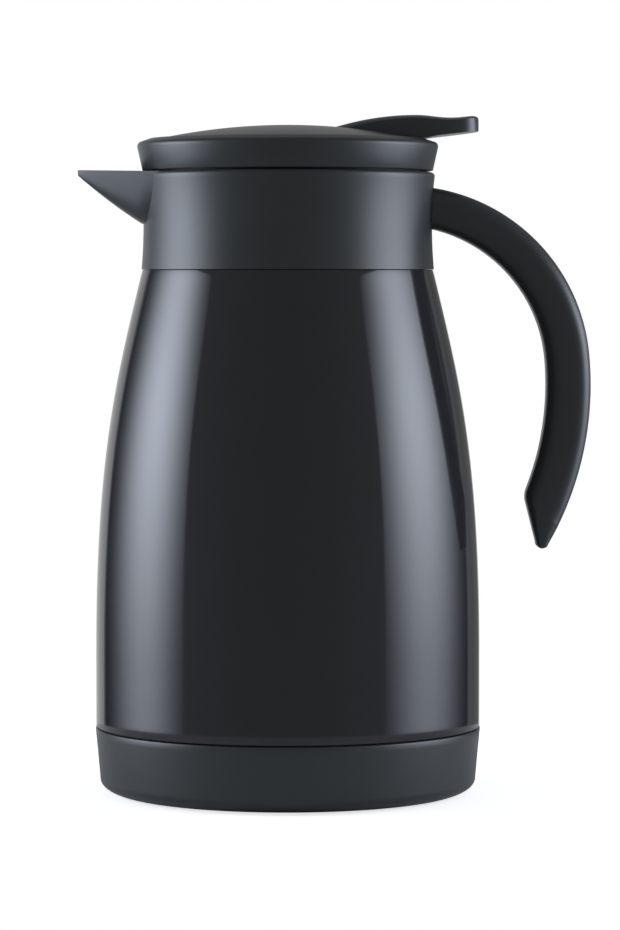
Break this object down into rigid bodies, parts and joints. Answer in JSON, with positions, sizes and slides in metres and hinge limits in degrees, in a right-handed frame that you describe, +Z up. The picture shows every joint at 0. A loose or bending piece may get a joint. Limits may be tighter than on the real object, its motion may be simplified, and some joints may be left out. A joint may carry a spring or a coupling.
{
  "type": "vacuum carafe",
  "caption": "Tapered double-wall vacuum carafe with pouring spout, open C handle and a lift-out stopper whose thumb lever lifts a sprung valve",
  "frame": {"origin": "on the body's axis in the plane of the foot ring", "axes": "+Z up along the axis of the body, +X towards the handle, -X towards the spout, symmetric about the plane Y = 0"},
  "size_m": [0.1705, 0.1284, 0.2258],
  "materials": {
    "lacquer": "gloss black lacquer on steel",
    "steel": "satin drawn stainless steel",
    "steel_small": "bright turned or stamped steel",
    "plastic": "fine spark-eroded satin, charcoal black",
    "plastic_trim": "fine satin, charcoal black",
    "plastic_lid": "smooth satin, charcoal black",
    "plastic_inner": "plain moulded, dark grey",
    "bush_plastic": "plain moulded, natural",
    "silicone": "soft matt translucent white"
  },
  "bodies": {
    "root": {"outer_shell": "lacquer", "shell_bottom": "steel", "inner_liner": "steel", "getter": "steel_small", "vacuum_seal": "steel_small", "base_cap": "plastic", "collar": "plastic", "collar_gasket": "silicone", "handle": "plastic", "handle_strip": "plastic_trim", "handle_screws": "steel_small"},
    "stopper_ring": {"stopper_gasket": "silicone"},
    "stopper": {"stopper_body": "plastic_inner", "upper_seal": "silicone", "stem_bush": "bush_plastic", "lid_rim": "plastic", "lid_dome": "plastic_lid", "lid_screws": "steel_small", "lever_pin": "steel_small", "valve_spring": "steel_small"},
    "lever": {"lever": "plastic_lid"},
    "valve": {"valve_stem": "steel_small", "valve_disc": "plastic_inner", "valve_seal": "silicone", "stem_cap": "plastic_inner"}
  },
  "joints": [
    {"name": "stopper_lift", "type": "slide", "parent": "root", "child": "stopper_ring", "axis": [0, 0, 1], "range_m": [0, 0.05]},
    {"name": "stopper_turn", "type": "hinge", "parent": "stopper_ring", "child": "stopper", "pos_m": [0, 0, 0.2], "axis": [0, 0, 1], "range_deg": [0, 90]},
    {"name": "lever_press", "type": "hinge", "parent": "stopper", "child": "lever", "pos_m": [0.035, 0, 0.213], "axis": [0, 1, 0], "range_deg": [0, 6], "stiffness_Nm_per_rad": 0.5, "springref_deg": -13.18},
    {"name": "valve_lift", "type": "slide", "parent": "stopper", "child": "valve", "axis": [0, 0, 1], "range_m": [0, 0.0037], "deforming": ["valve_spring"]}
  ],
  "couplings": [
    {"joint": "valve_lift", "follows": "lever_press", "m_per_rad": 0.035}
  ]
}
